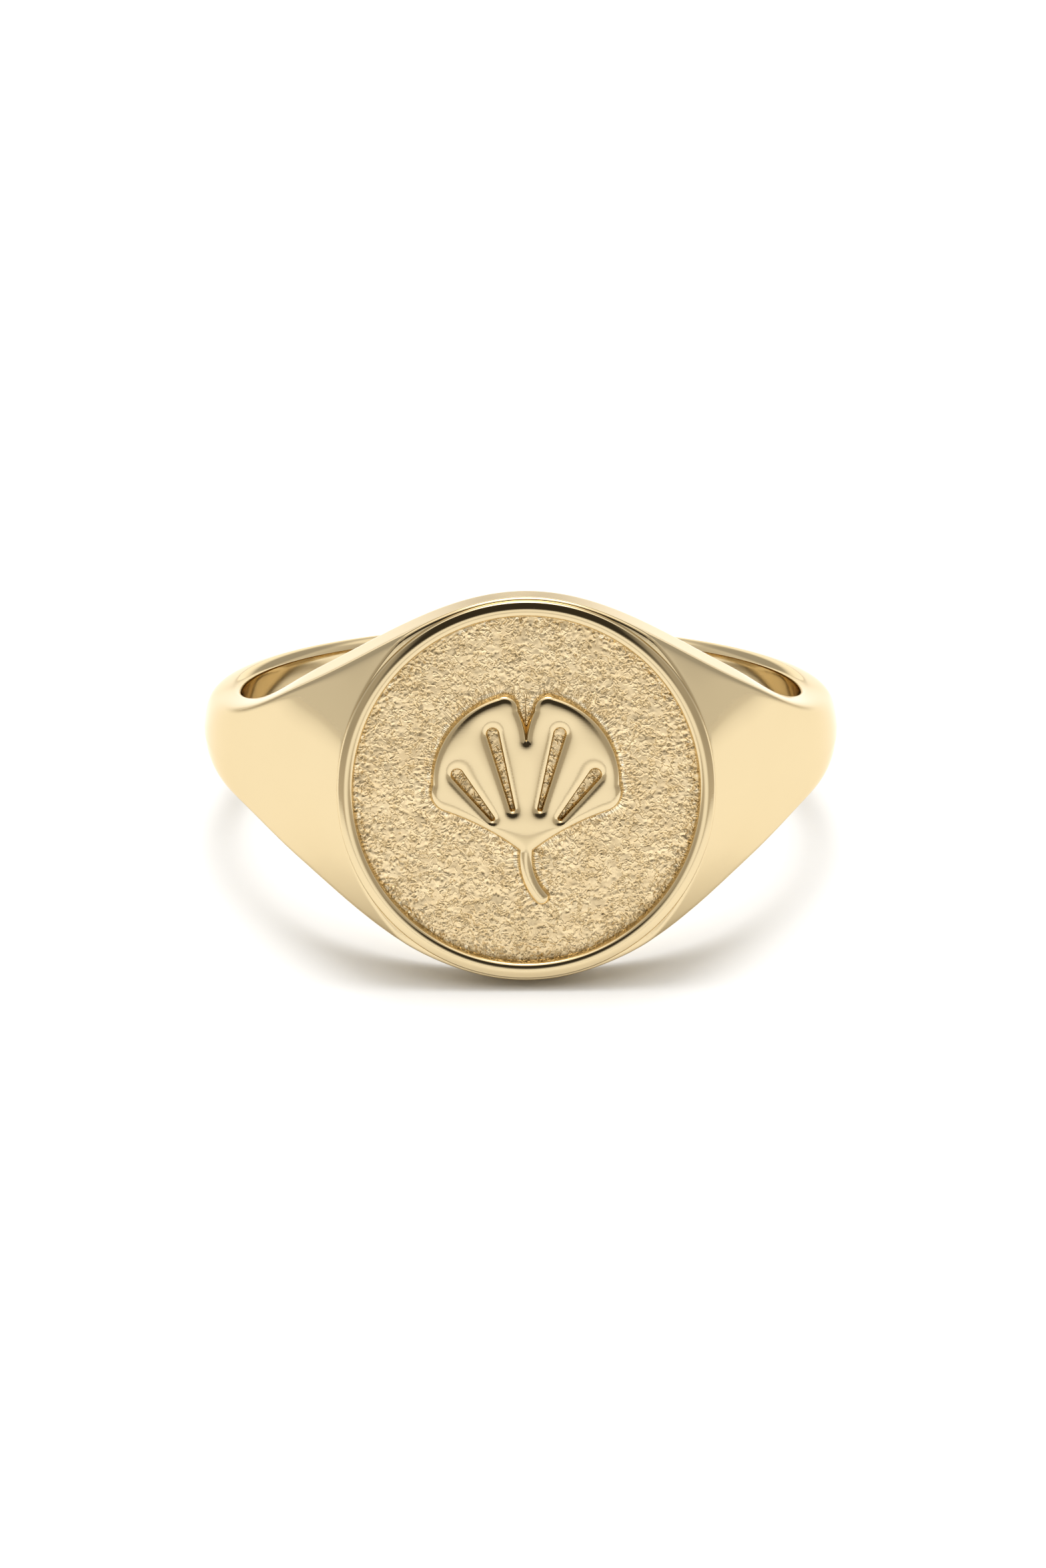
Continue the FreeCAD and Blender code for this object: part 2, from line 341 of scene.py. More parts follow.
def cut_face(bm):
    """Faces the head off with a rounded edge, and sinks the pocket that the plate and rim stand in."""
    start_plane = HEAD_PLANE - HEAD_EDGE_R
    every = bm.verts[:] + bm.edges[:] + bm.faces[:]
    bmesh.ops.bisect_plane(bm, geom=every, dist=1e-5, plane_co=(0, -start_plane, 0), plane_no=(0, -1, 0))
    bm.normal_update()
    normals = {v: v.normal.copy() for v in bm.verts if abs(v.co.y + start_plane) < 1e-4}
    beyond = [v for v in bm.verts if v.co.y < -start_plane - 1e-4]
    bmesh.ops.delete(bm, geom=beyond, context="VERTS")
    loop = boundary_loop(bm)

    rings = [[] for _ in range(9)]
    for vert in loop:
        normal = normals[vert].normalized()
        along = (Vector((0, -1, 0)) + normal * normal.y).normalized()
        inward = Vector((-normal.x, 0, -normal.z)).normalized()
        lean = math.asin(max(-1.0, min(1.0, along.dot(inward))))
        run = HEAD_EDGE_R / math.cos(lean)
        corner = vert.co + along * run
        reach = min(0.9 * run, HEAD_EDGE_R * math.tan((math.pi / 2.0 - lean) / 2.0))
        first, last = corner - along * reach, corner + inward * reach
        for k in range(6):
            t = k / 5.0
            rings[k].append(first * (1 - t) ** 2 + corner * 2 * t * (1 - t) + last * t * t)
        heading = math.atan2(last.z / FACE_STRETCH, last.x)
        x, z = POCKET_R * math.cos(heading), POCKET_R * math.sin(heading) * FACE_STRETCH
        rings[6].append(Vector((x, -HEAD_PLANE, z)))
        rings[7].append(Vector((x, -POCKET_FLOOR, z)))
        rings[8].append(Vector((0.5 * x, -POCKET_FLOOR, 0.5 * z)))
    previous = loop
    count = len(loop)
    for ring in rings:
        current = [bm.verts.new(point) for point in ring]
        for i in range(count):
            j = (i + 1) % count
            bm.faces.new((previous[i], previous[j], current[j], current[i]))
        previous = current
    centre = bm.verts.new((0, -POCKET_FLOOR, 0))
    for i in range(count):
        bm.faces.new((previous[i], previous[(i + 1) % count], centre))
    bmesh.ops.recalc_face_normals(bm, faces=bm.faces[:])


def finished(name, bm, material):
    """A piece from a mesh in the ring's frame: leaned, in metres, shaded smooth, riding on the ring."""
    mesh = bpy.data.meshes.new(name)
    bm.to_mesh(mesh)
    bm.free()
    points = np.empty(len(mesh.vertices) * 3)
    mesh.vertices.foreach_get("co", points)
    mesh.vertices.foreach_set("co", placed(points).ravel())
    mesh.shade_smooth()
    mesh.set_sharp_from_angle(angle=math.radians(42.0))
    mesh.update()
    piece = bpy.data.objects.new(name, mesh)
    bpy.context.scene.collection.objects.link(piece)
    piece.data.materials.append(material)
    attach(piece, "root")
    return piece


def mesh_of(points, faces):
    bm = bmesh.new()
    verts = [bm.verts.new(point) for point in points]
    for face in faces:
        bm.faces.new([verts[i] for i in face])
    return bm


def make_shank(material):
    grid = shank_grid(SHANK_TURNS, SKIN_ROWS, EDGE_ROWS, BORE_ROWS)
    rows, columns = grid.shape[:2]
    bm = mesh_of(grid.reshape(-1, 3), grid_faces(rows, columns))
    bmesh.ops.recalc_face_normals(bm, faces=bm.faces[:])
    cut_face(bm)
    piece = finished("ring_shank", bm, material)
    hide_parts("shank")
    return piece


# ---------------------------------------------------------------- rim

def rounded(points, radii, steps=6):
    """A polyline whose inner corners are rounded with the radii given for them."""
    points = [np.array(p, float) for p in points]
    line = [points[0]]
    for before, corner, after, radius in zip(points, points[1:], points[2:], radii):
        if radius == 0.0:
            line.append(corner)
            continue
        a = (before - corner) / np.linalg.norm(before - corner)
        b = (after - corner) / np.linalg.norm(after - corner)
        half = math.acos(float(np.clip(a @ b, -1, 1))) / 2.0
        reach = radius / math.tan(half)
        for k in range(steps + 1):
            t = k / steps
            start, end = corner + a * reach, corner + b * reach
            line.append(start * (1 - t) ** 2 + corner * 2 * t * (1 - t) + end * t * t)
    line.append(points[-1])
    return line


def make_rim(material):
    """Crest, inner slope and lip on a skirt, turned about the face's axis and drawn out along Z."""
    line = rounded(RIM_CORNERS, RIM_ROUNDING)
    points = []
    for i in range(RIM_TURNS):
        angle = 2.0 * math.pi * i / RIM_TURNS
        for radius, out in line:
            points.append((radius * math.cos(angle), -out, radius * math.sin(angle) * FACE_STRETCH))
    bm = mesh_of(points, grid_faces(RIM_TURNS, len(line)))
    bmesh.ops.recalc_face_normals(bm, faces=bm.faces[:])
    piece = finished("face_rim", bm, material)
    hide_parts("bezel_rim")
    return piece


# ---------------------------------------------------------------- emblem

def arc_points(start, middle, end, spacing=0.03):
    """Points along the circle arc through three (x, z) points, without its last one."""
    a, b, c = complex(*start), complex(*middle), complex(*end)
    w = (c - a) / (b - a)
    centre = (b - a) * (w - abs(w) ** 2) / (2j * w.imag) + a
    radius = abs(a - centre)
    first = np.angle(a - centre)
    turn_b = (np.angle(b - centre) - first) % (2 * math.pi)
    turn_c = (np.angle(c - centre) - first) % (2 * math.pi)
    if turn_b > turn_c:
        turn_c -= 2 * math.pi
    count = max(2, int(math.ceil(abs(turn_c) * radius / spacing)))
    angles = first + turn_c * np.arange(count) / count
    return [(centre.real + radius * math.cos(t), centre.imag + radius * math.sin(t)) for t in angles]


def leaf_outline():
    """The leaf's closed outline: the right half, its mirror image and the stem."""
    line = []
    for arc in LEAF_ARCS:
        line += arc_points(*arc)
    for start, middle, end in reversed(LEAF_ARCS):
        line += arc_points((-end[0], end[1]), (-middle[0], middle[1]), (-start[0], start[1]))
    for start, middle, end in reversed(STEM_ARCS):
        line += arc_points(end, middle, start)
    return line


def slot_outline(lean, start, end):
    """A slot that leans from +Z, between two distances from the slots' common root."""
    lean = math.radians(lean)

    def at(along, aside):
        x = SLOT_ROOT[0] + along * math.sin(lean) + aside * math.cos(lean)
        z = SLOT_ROOT[1] + along * math.cos(lean) - aside * math.sin(lean)
        return x, z

    shares = np.arange(int((end - start) / 0.03)) / int((end - start) / 0.03)
    right = [at(blend(start, end, t), blend(SLOT_NARROW, SLOT_WIDE, t)) for t in shares]
    tip = arc_points(at(end, SLOT_WIDE), at(end + SLOT_WIDE, 0.0), at(end, -SLOT_WIDE))
    left = [at(blend(end, start, t), -blend(SLOT_WIDE, SLOT_NARROW, t)) for t in shares]
    root = arc_points(at(start, -SLOT_NARROW), at(start - SLOT_NARROW, 0.0), at(start, SLOT_NARROW))
    return right + tip + left + root


def edge_distance(points, loops):
    """Distance from each point to the nearest of the closed outlines."""
    best = np.full(len(points), 1e9)
    for loop in loops:
        a = np.array(loop)
        run = np.roll(a, -1, axis=0) - a
        for k in range(0, len(points), 4000):
            part = points[k : k + 4000]
            rel = part[:, None, :] - a[None]
            t = np.clip((rel * run).sum(-1) / (run * run).sum(-1), 0.0, 1.0)
            gap = np.linalg.norm(rel - t[..., None] * run, axis=-1).min(axis=1)
            best[k : k + 4000] = np.minimum(best[k : k + 4000], gap)
    return best


def outline_position(points, loop):
    """Distance from each point to a closed outline, and how far along the outline that is."""
    a = np.array(loop)
    run = np.roll(a, -1, axis=0) - a
    length = np.linalg.norm(run, axis=1)
    start = np.concatenate([[0.0], np.cumsum(length)[:-1]])
    gap, along = np.empty(len(points)), np.empty(len(points))
    for k in range(0, len(points), 4000):
        rel = points[k : k + 4000, None, :] - a[None]
        t = np.clip((rel * run).sum(-1) / (run * run).sum(-1), 0.0, 1.0)
        far = np.linalg.norm(rel - t[..., None] * run, axis=-1)
        best = far.argmin(axis=1)
        rows = np.arange(len(best))
        gap[k : k + 4000] = far[rows, best]
        along[k : k + 4000] = start[best] + t[rows, best] * length[best]
    return gap, along


def inside_loop(points, loop):
    """Whether each point is inside the closed outline."""
    x, z = points[:, 0], points[:, 1]
    a = np.array(loop)
    b = np.roll(a, -1, axis=0)
    found = np.zeros(len(points), bool)
    for (ax, az), (bx, bz) in zip(a, b):
        crosses = (az > z) != (bz > z)
        with np.errstate(divide="ignore", invalid="ignore"):
            found ^= crosses & (x < (bx - ax) * (z - az) / (bz - az) + ax)
    return found


def in_leaf(points, loops):
    found = inside_loop(points, loops[0])
    for loop in loops[1:]:
        found &= ~inside_loop(points, loop)
    return found


def leaf_loops():
    return [leaf_outline()] + [slot_outline(*slot) for slot in SLOTS]


def inward_sides(loop, loops):
    """Unit vectors into the leaf at each point of one of its outlines."""
    a = np.array(loop)
    tangent = np.roll(a, -1, axis=0) - np.roll(a, 1, axis=0)
    tangent /= np.linalg.norm(tangent, axis=1)[:, None]
    side = np.stack([-tangent[:, 1], tangent[:, 0]], axis=1)
    return side if in_leaf(a + side * 0.01, loops)[len(a) // 2] else -side


def leaf_pillow(flat, triangles, depth):
    """A membrane blown up over the leaf: zero on its outlines and evenly curved between them."""
    corners = np.array(triangles)
    starts, ends, weights = [], [], []
    area = np.zeros(len(flat))
    for i in range(3):
        here, there, last = corners[:, i], corners[:, (i + 1) % 3], corners[:, (i + 2) % 3]
        u, v = flat[there] - flat[here], flat[last] - flat[here]
        cross = np.abs(u[:, 0] * v[:, 1] - u[:, 1] * v[:, 0])
        weight = 0.5 * (u * v).sum(axis=1) / np.maximum(cross, 1e-9)
        area += np.bincount(here, cross / 6.0, len(flat))
        starts += [there, last]
        ends += [last, there]
        weights += [weight, weight]
    starts, ends, weights = np.concatenate(starts), np.concatenate(ends), np.concatenate(weights)
    total = np.maximum(np.bincount(starts, weights, len(flat)), 1e-6)
    pillow = np.zeros(len(flat))
    for _ in range(PILLOW_ROUNDS):
        pull = np.bincount(starts, weights * pillow[ends], len(flat))
        pillow = np.where(depth > 1e-5, (pull + PILLOW_CURVE * area) / total, 0.0)
    return pillow


def hexagonal_points(loops):
    """Evenly spaced points over the leaf, inside its innermost inset."""
    xs = np.arange(-3.2, 3.2, LEAF_PITCH)
    zs = np.arange(-3.8, 3.2, LEAF_PITCH * 0.866)
    x, z = np.meshgrid(xs, zs)
    x = x + (np.arange(len(zs)) % 2)[:, None] * LEAF_PITCH / 2.0
    points = np.stack([x.ravel(), z.ravel()], axis=1)
    points = points[in_leaf(points, loops)]
    return points[edge_distance(points, loops) > LEAF_INSETS[-1] + 0.025]


def make_emblem(material):
    """The leaf: a softly rounded and pillowed top on walls that flare out to a foot sunk in the plate."""
    loops = leaf_loops()
    rim_points = np.array([p for loop in loops for p in loop])
    sides = [inward_sides(loop, loops) for loop in loops]
    edges, insets, first = [], [], 0
    for loop, side in zip(loops, sides):
        edges += [(first + i, first + (i + 1) % len(loop)) for i in range(len(loop))]
        first += len(loop)
        for inset in LEAF_INSETS:
            points = np.array(loop) + side * inset
            keep = in_leaf(points, loops) & (edge_distance(points, loops) > 0.93 * inset)
            insets.append(points[keep])
    flat = np.concatenate([rim_points] + insets + [hexagonal_points(loops)])
    verts, _, triangles, *_ = delaunay_2d_cdt([Vector(p) for p in flat], edges, [], 0, 1e-6)
    flat = np.array([tuple(v) for v in verts])
    centres = np.array([flat[list(t)].mean(axis=0) for t in triangles])
    triangles = [t for t, keep in zip(triangles, in_leaf(centres, loops)) if keep]

    depth = edge_distance(flat, loops)
    pillow = leaf_pillow(flat, triangles, depth)
    rise = EMBLEM_HEIGHT - EDGE_DROP * np.exp(-depth / EDGE_RUN) + pillow - pillow.max()
    sides = np.concatenate(sides)
    draft = np.where(np.arange(len(rim_points)) < len(loops[0]), LEAF_DRAFT, SLOT_DRAFT)
    spread = flat.copy()
    for k in np.nonzero(depth < 1e-5)[0]:
        nearest = int(np.argmin(np.linalg.norm(rim_points - flat[k], axis=1)))
        spread[k] -= draft[nearest] * sides[nearest]

    bm = bmesh.new()
    top = [bm.verts.new((x, -PLATE_PLANE - h, z)) for (x, z), h in zip(flat, rise)]
    foot = -PLATE_PLANE + LEAF_SINK
    bottom = [bm.verts.new((x, foot, z)) for x, z in spread]
    for t in triangles:
        bm.faces.new([top[i] for i in t])
        bm.faces.new([bottom[i] for i in reversed(t)])
    place = {vert: i for i, vert in enumerate(top)}
    for edge in [e for e in bm.edges if len(e.link_faces) == 1 and e.verts[0] in place]:
        a, b = edge.verts
        bm.faces.new((a, b, bottom[place[b]], bottom[place[a]]))
    for vert in [v for v in bm.verts if not v.link_faces]:
        bm.verts.remove(vert)
    bmesh.ops.recalc_face_normals(bm, faces=bm.faces[:])
    piece = finished("leaf_emblem", bm, material)
    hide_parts("emblem")
    return piece


# ---------------------------------------------------------------- field

def lattice_noise(x, z, scale, seed):
    """Smooth value noise from a seeded lattice, between -1 and 1."""
    rng = np.random.default_rng(seed)
    table = rng.uniform(-1.0, 1.0, (256, 256))
    gx, gz = x * scale + 1000.0, z * scale + 1000.0
    ix, iz = np.floor(gx).astype(int), np.floor(gz).astype(int)
    fx, fz = gx - ix, gz - iz
    fx, fz = fx * fx * (3 - 2 * fx), fz * fz * (3 - 2 * fz)
    a, b = table[ix % 256, iz % 256], table[(ix + 1) % 256, iz % 256]
    c, d = table[ix % 256, (iz + 1) % 256], table[(ix + 1) % 256, (iz + 1) % 256]
    return (a * (1 - fx) + b * fx) * (1 - fz) + (c * (1 - fx) + d * fx) * fz


def add_strokes(height, x0, pitch, strokes):
    """Adds elongated bumps or nicks (x, z, heading, half length, half width, rise) to a height map."""
    size = height.shape[0]
    for x, z, heading, long, wide, rise in strokes:
        reach = 2.2 * long
        i0, i1 = int((x - reach - x0) / pitch), int((x + reach - x0) / pitch) + 2
        j0, j1 = int((z - reach - x0) / pitch), int((z + reach - x0) / pitch) + 2
        i0, j0, i1, j1 = max(i0, 0), max(j0, 0), min(i1, size), min(j1, size)
        if i0 >= i1 or j0 >= j1:
            continue
        gx = (x0 + pitch * np.arange(i0, i1))[:, None] - x
        gz = (x0 + pitch * np.arange(j0, j1))[None, :] - z
        along = gx * math.cos(heading) + gz * math.sin(heading)
        aside = gz * math.cos(heading) - gx * math.sin(heading)
        height[i0:i1, j0:j1] += rise * np.exp(-((along / long) ** 2) - (aside / wide) ** 2)


def field_relief(loops):
    """A square height map of the struck field: mottling, strokes, pits, and marks round leaf and rim."""
    rng = np.random.default_rng(RELIEF_SEED)
    pitch, x0 = RELIEF_PITCH, -RELIEF_HALF
    size = int(-2 * x0 / pitch) + 1
    line = x0 + pitch * np.arange(size)
    x, z = np.meshgrid(line, line, indexing="ij")
    height = 0.010 * lattice_noise(x, z, 0.9, 1) + 0.007 * lattice_noise(x, z, 2.3, 2)
    height += 0.003 * lattice_noise(x, z, 6.0, 3)

    strokes = []
    for _ in range(STROKES):
        radius = STROKE_REACH_R * math.sqrt(rng.uniform())
        angle = rng.uniform(0, 2 * math.pi)
        heading = rng.normal(0.0, 0.95)
        strokes.append((radius * math.cos(angle), radius * math.sin(angle), heading,
                        rng.uniform(0.06, 0.13), rng.uniform(0.028, 0.040), rng.normal(0.0, 0.0055)))
    for _ in range(PITS):
        radius = STROKE_REACH_R * math.sqrt(rng.uniform())
        angle = rng.uniform(0, 2 * math.pi)
        strokes.append((radius * math.cos(angle), radius * math.sin(angle), rng.uniform(0, math.pi),
                        rng.uniform(0.02, 0.045), rng.uniform(0.018, 0.03), -rng.uniform(0.020, 0.045)))
    outline = np.array(loops[0])
    tangent = np.roll(outline, -1, axis=0) - np.roll(outline, 1, axis=0)
    tangent /= np.linalg.norm(tangent, axis=1)[:, None]
    outward = np.stack([tangent[:, 1], -tangent[:, 0]], axis=1)
    if inside_loop(outline[:1] + 0.02 * outward[:1], loops[0])[0]:
        outward = -outward
    for _ in range(LEAF_MARKS):
        k = int(rng.integers(len(outline)))
        away = abs(rng.normal(0.0, 0.20)) + 0.05
        point = outline[k] + outward[k] * away
        heading = math.atan2(outward[k, 1], outward[k, 0]) + rng.normal(0.0, 0.30)
        strokes.append((point[0], point[1], heading,
                        rng.uniform(0.06, 0.13), rng.uniform(0.026, 0.034), rng.normal(0.002, 0.011)))
    for _ in range(RIM_MARKS):
        radius = RIM_INSIDE_R - 0.02 - abs(rng.normal(0.0, 0.16))
        angle = rng.uniform(0, 2 * math.pi)
        across, up = radius * math.cos(angle), radius * math.sin(angle) * FACE_STRETCH
        strokes.append((across, up, rng.uniform(0, math.pi),
                        rng.uniform(0.03, 0.06), rng.uniform(0.026, 0.034), rng.normal(0.0, 0.015)))
    add_strokes(height, x0, pitch, strokes)
    return height, x0, pitch


def sample(height, x0, pitch, x, z):
    """The height map's value at each place, linear between its points."""
    gx, gz = (x - x0) / pitch, (z - x0) / pitch
    ix = np.clip(np.floor(gx).astype(int), 0, height.shape[0] - 2)
    iz = np.clip(np.floor(gz).astype(int), 0, height.shape[1] - 2)
    fx, fz = gx - ix, gz - iz
    low = height[ix, iz] * (1 - fx) + height[ix + 1, iz] * fx
    high = height[ix, iz + 1] * (1 - fx) + height[ix + 1, iz + 1] * fx
    return low * (1 - fz) + high * fz


def field_layers(flat, rise, radius, loops):
    """Values over the field that its material reads: a pale band over the raised marks round the leaf and
    inside the rim that is a painted highlight, painted shade in the hollows over a random tone, and places
    round the leaf.
    """
    x, z = flat.T
    gap, along = outline_position(flat, loops[0])
    # Pale band round the leaf and inside the rim: a painted highlight over the raised marks there.
    burr_and_highlight = np.exp(-(((gap - 0.13) / 0.06) ** 2)) * np.clip(0.55 + 0.9 * lattice_noise(x, z, 5.0, 7), 0.0, 1.0)
    burr_and_highlight += 0.9 * smooth(radius, 5.28, 5.36) * smooth(lattice_noise(x, z, 10.0, 9), 0.45, 0.75)
    in_slot = ~in_leaf(flat, loops) & inside_loop(flat, loops[0])
    # Painted shade: darker where the field lies lower, along the rim's inner wall and in the slots near their
    # walls, over a random tone.
    tone_and_shade = 0.020 * lattice_noise(x, z, 1.1, 8) - rise
    tone_and_shade += 0.022 * np.exp(-(((RIM_INSIDE_R - radius) / 0.16) ** 2))
    tone_and_shade += 0.03 * in_slot * np.exp(-edge_distance(flat, loops[1:]) / 0.12)
    return {"burr_and_highlight": burr_and_highlight, "tone_and_shade": tone_and_shade, "gap": gap, "along": along}


def make_field(material):
    """The plate: a round grid raised by the relief, with a plain side and back."""
    loops = leaf_loops()
    relief = field_relief(loops)
    cells = FIELD_CELLS
    line = np.linspace(-1.0, 1.0, cells + 1)
    a, b = np.meshgrid(line, line, indexing="ij")
    x = PLATE_R * a * np.sqrt(1.0 - b * b / 2.0)
    z = PLATE_R * FACE_STRETCH * b * np.sqrt(1.0 - a * a / 2.0)
    x, z = x.ravel(), z.ravel()
    rise = sample(*relief, x, z)
    radius = np.hypot(x, z / FACE_STRETCH)
    rise = rise * smooth(5.66 - radius, 0.0, 0.12) - 0.012
    rise = np.clip(rise, -0.08, 0.045)
    rise = np.where(radius > 5.45, np.minimum(rise, -0.014), rise)
    points = np.stack([x, -PLATE_PLANE - rise, z], axis=1)
    n = cells + 1
    faces = []
    for i in range(cells):
        for j in range(cells):
            faces.append((i * n + j, i * n + j + 1, (i + 1) * n + j + 1, (i + 1) * n + j))
    border = [i * n for i in range(cells)] + [cells * n + j for j in range(cells)]
    border += [(cells - i) * n + cells for i in range(cells)] + [cells - j for j in range(cells)]
    back = [(x[k], -PLATE_BACK, z[k]) for k in border]
    points = np.concatenate([points, back, [(0.0, -PLATE_BACK, 0.0)]])
    base = n * n
    count = len(border)
    for i in range(count):
        j = (i + 1) % count
        faces.append((border[i], border[j], base + j, base + i))
        faces.append((base + i, base + j, base + count))
    bm = mesh_of(points, faces)
    bmesh.ops.recalc_face_normals(bm, faces=bm.faces[:])
    piece = finished("face_field", bm, material)
    hidden = np.zeros(len(back) + 1)
    for label, value in field_layers(np.stack([x, z], axis=1), rise, radius, loops).items():
        layer = piece.data.attributes.new(label, "FLOAT", "POINT")
        layer.data.foreach_set("value", np.concatenate([value, hidden]).astype(np.float32))
    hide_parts("field_plate")
    return piece


# ---------------------------------------------------------------- materials

def new_material(name):
    material = bpy.data.materials.new(name)
    material.use_nodes = True
    tree = material.node_tree
    return material, tree.nodes, tree.links, tree.nodes["Principled BSDF"]


def noise(nodes, links, where, scale, detail, roughness=0.5):
    node = nodes.new("ShaderNodeTexNoise")
    node.inputs["Scale"].default_value = scale
    node.inputs["Detail"].default_value = detail
    node.inputs["Roughness"].default_value = roughness
    links.new(where, node.inputs["Vector"])
    return node.outputs["Fac"]


def remap(nodes, links, value, low, high, start=0.0, end=1.0):
    node = nodes.new("ShaderNodeMapRange")
    node.inputs["From Min"].default_value = start
    node.inputs["From Max"].default_value = end
    node.inputs["To Min"].default_value = low
    node.inputs["To Max"].default_value = high
    links.new(value, node.inputs["Value"])
    return node.outputs["Result"]


def mixed(nodes, links, factor, first, second):
    """Two colours mixed by a factor; each colour is a socket or three numbers."""
    node = nodes.new("ShaderNodeMix")
    node.data_type = "RGBA"
    links.new(factor, node.inputs["Factor"])
    for name, colour in (("A", first), ("B", second)):
        if isinstance(colour, tuple):
            node.inputs[name].default_value = (*colour, 1.0)
        else:
            links.new(colour, node.inputs[name])
    return node.outputs["Result"]


def grey(level):
    return (level, level, level)


def polished_gold():
    """Buffed 14 carat gold: faint tone drift, uneven gloss and hairline polishing marks."""
    material, nodes, links, shader = new_material("polished_gold")
    where = nodes.new("ShaderNodeTexCoord").outputs["Object"]
    drift = noise(nodes, links, where, 260.0, 3.0)
    tone = mixed(nodes, links, drift, (0.645, 0.517, 0.308), (0.678, 0.551, 0.338))
    links.new(tone, shader.inputs["Base Color"])
    cloud = noise(nodes, links, where, 900.0, 4.0, 0.6)
    links.new(remap(nodes, links, cloud, 0.045, 0.095, 0.3, 0.7), shader.inputs["Roughness"])
    stretch = nodes.new("ShaderNodeMapping")
    stretch.inputs["Scale"].default_value = (0.35, 1.0, 6.0)
    stretch.inputs["Rotation"].default_value = (0.35, 0.2, 0.5)
    links.new(where, stretch.inputs["Vector"])
    hairs = noise(nodes, links, stretch.outputs["Vector"], 6000.0, 3.0, 0.6)
    bump = nodes.new("ShaderNodeBump")
    bump.inputs["Strength"].default_value = 0.012
    bump.inputs["Distance"].default_value = 0.00002
    links.new(hairs, bump.inputs["Height"])
    links.new(bump.outputs["Normal"], shader.inputs["Normal"])
    shader.inputs["Metallic"].default_value = 1.0
    shader.inputs["Specular Tint"].default_value = (0.92, 0.86, 0.74, 1.0)
    return material


def figured(nodes, links, operation, first, second):
    """A Math node on two inputs, each a socket or a number."""
    node = nodes.new("ShaderNodeMath")
    node.operation = operation
    for socket, value in zip(node.inputs, (first, second)):
        if isinstance(value, float):
            socket.default_value = value
        else:
            links.new(value, socket)
    return node.outputs["Value"]


def attribute(nodes, name):
    node = nodes.new("ShaderNodeAttribute")
    node.attribute_name = name
    return node.outputs["Fac"]


def worms(nodes, links, where, turn, scale, width, bare):
    """Short wandering lines: where a smooth noise crosses its middle, broken up by a second noise."""
    place = nodes.new("ShaderNodeMapping")
    place.inputs["Rotation"].default_value = (turn, 0.7 * turn, 1.3 * turn)
    place.inputs["Location"].default_value = (turn, -turn, 2.0 * turn)
    links.new(where, place.inputs["Vector"])
    field = noise(nodes, links, place.outputs["Vector"], scale, 1.5, 0.55)
    off = figured(nodes, links, "ABSOLUTE", figured(nodes, links, "SUBTRACT", field, 0.5), 0.0)
    line = remap(nodes, links, off, 1.0, 0.0, 0.0, width)
    breaks = noise(nodes, links, place.outputs["Vector"], 0.62 * scale, 1.0)
    return figured(nodes, links, "MULTIPLY", line, remap(nodes, links, breaks, 0.0, 1.0, bare, bare + 0.05))


